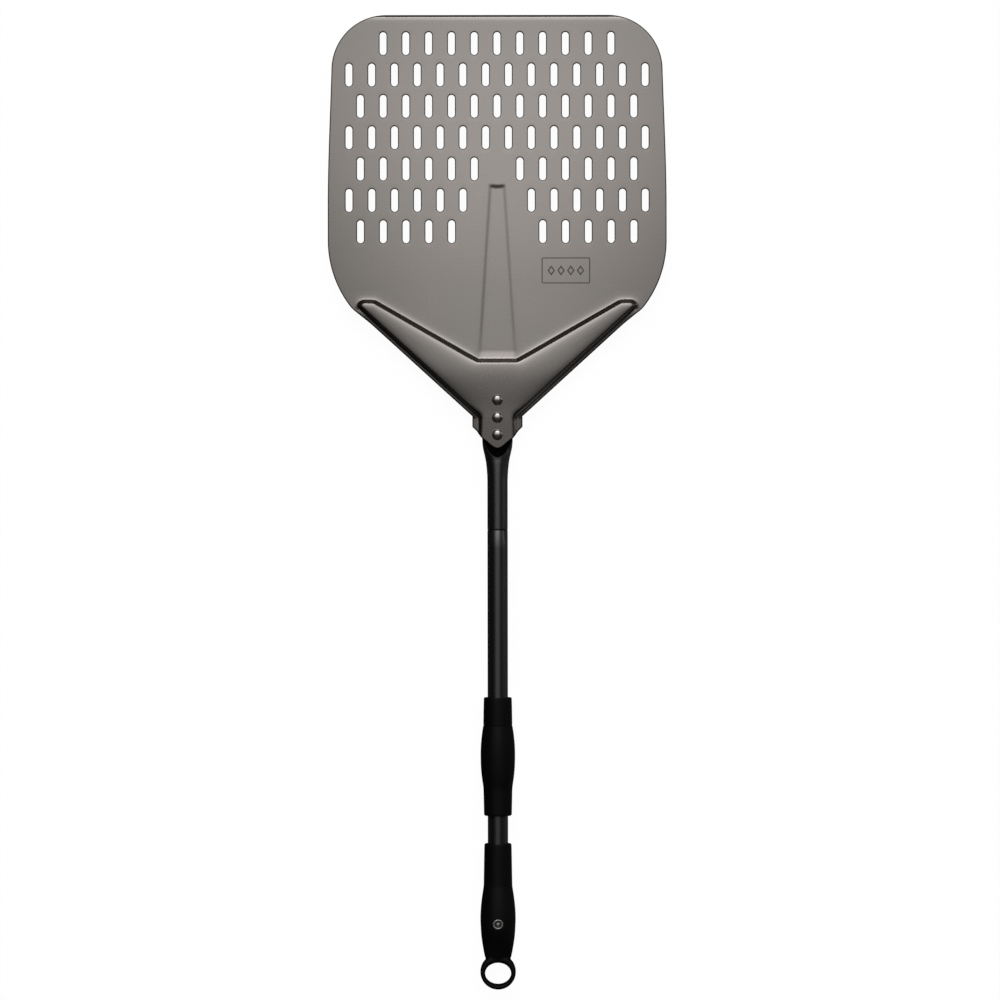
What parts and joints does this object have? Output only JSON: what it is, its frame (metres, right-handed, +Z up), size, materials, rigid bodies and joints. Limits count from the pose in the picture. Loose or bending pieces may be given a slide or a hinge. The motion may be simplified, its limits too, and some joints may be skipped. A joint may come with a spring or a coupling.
{
  "type": "pizza peel",
  "caption": "Perforated aluminium pizza peel with a riveted neck, a screwed take-apart tubular handle, a sliding middle grip and an end grip with a hanging ring.",
  "frame": {"origin": "centre of the blade's carrying face, on the blind spot in the middle of the slot pattern", "axes": "+Z up out of the carrying face, +Y to the blade's front edge, handle along -Y"},
  "size_m": [0.3338, 0.9603, 0.0348],
  "materials": {
    "blade": "hard anodised, warm grey, satin",
    "rivet": "satin",
    "tube": "satin black",
    "grip": "fine matte texture",
    "washer": "matte",
    "glide": "natural acetal",
    "plug": "turned",
    "steel": "zinc plated"
  },
  "bodies": {
    "head": {"blade": "blade", "rivets": "rivet", "neck_tube": "tube", "neck_socket": "plug"},
    "washer": {"joint_washer": "washer"},
    "handle": {"joint_stud": "steel", "handle_plug": "plug", "handle_tube": "tube", "end_plug": "plug", "end_grip": "grip", "end_grip_screw": "steel"},
    "glides": {"glide_bush_front": "glide", "glide_bush_rear": "glide"},
    "sliding_grip": {"mid_grip": "grip"}
  },
  "joints": [
    {"name": "handle_draw", "type": "slide", "parent": "head", "child": "washer", "axis": [0, -1, 0], "range_m": [0, 0.0175]},
    {"name": "handle_unscrew", "type": "hinge", "parent": "washer", "child": "handle", "pos_m": [0, -0.3558, -0.002], "axis": [0, -1, 0], "range_deg": [0, 3600]},
    {"name": "grip_slide", "type": "slide", "parent": "handle", "child": "glides", "axis": [0, -1, 0], "range_m": [-0.214, 0.0272]},
    {"name": "grip_turn", "type": "hinge", "parent": "glides", "child": "sliding_grip", "pos_m": [0, -0.5789, -0.002], "axis": [0, 1, 0], "continuous": true}
  ],
  "couplings": [
    {"joint": "handle_unscrew", "follows": "handle_draw", "rad_per_m": 3590.3}
  ]
}
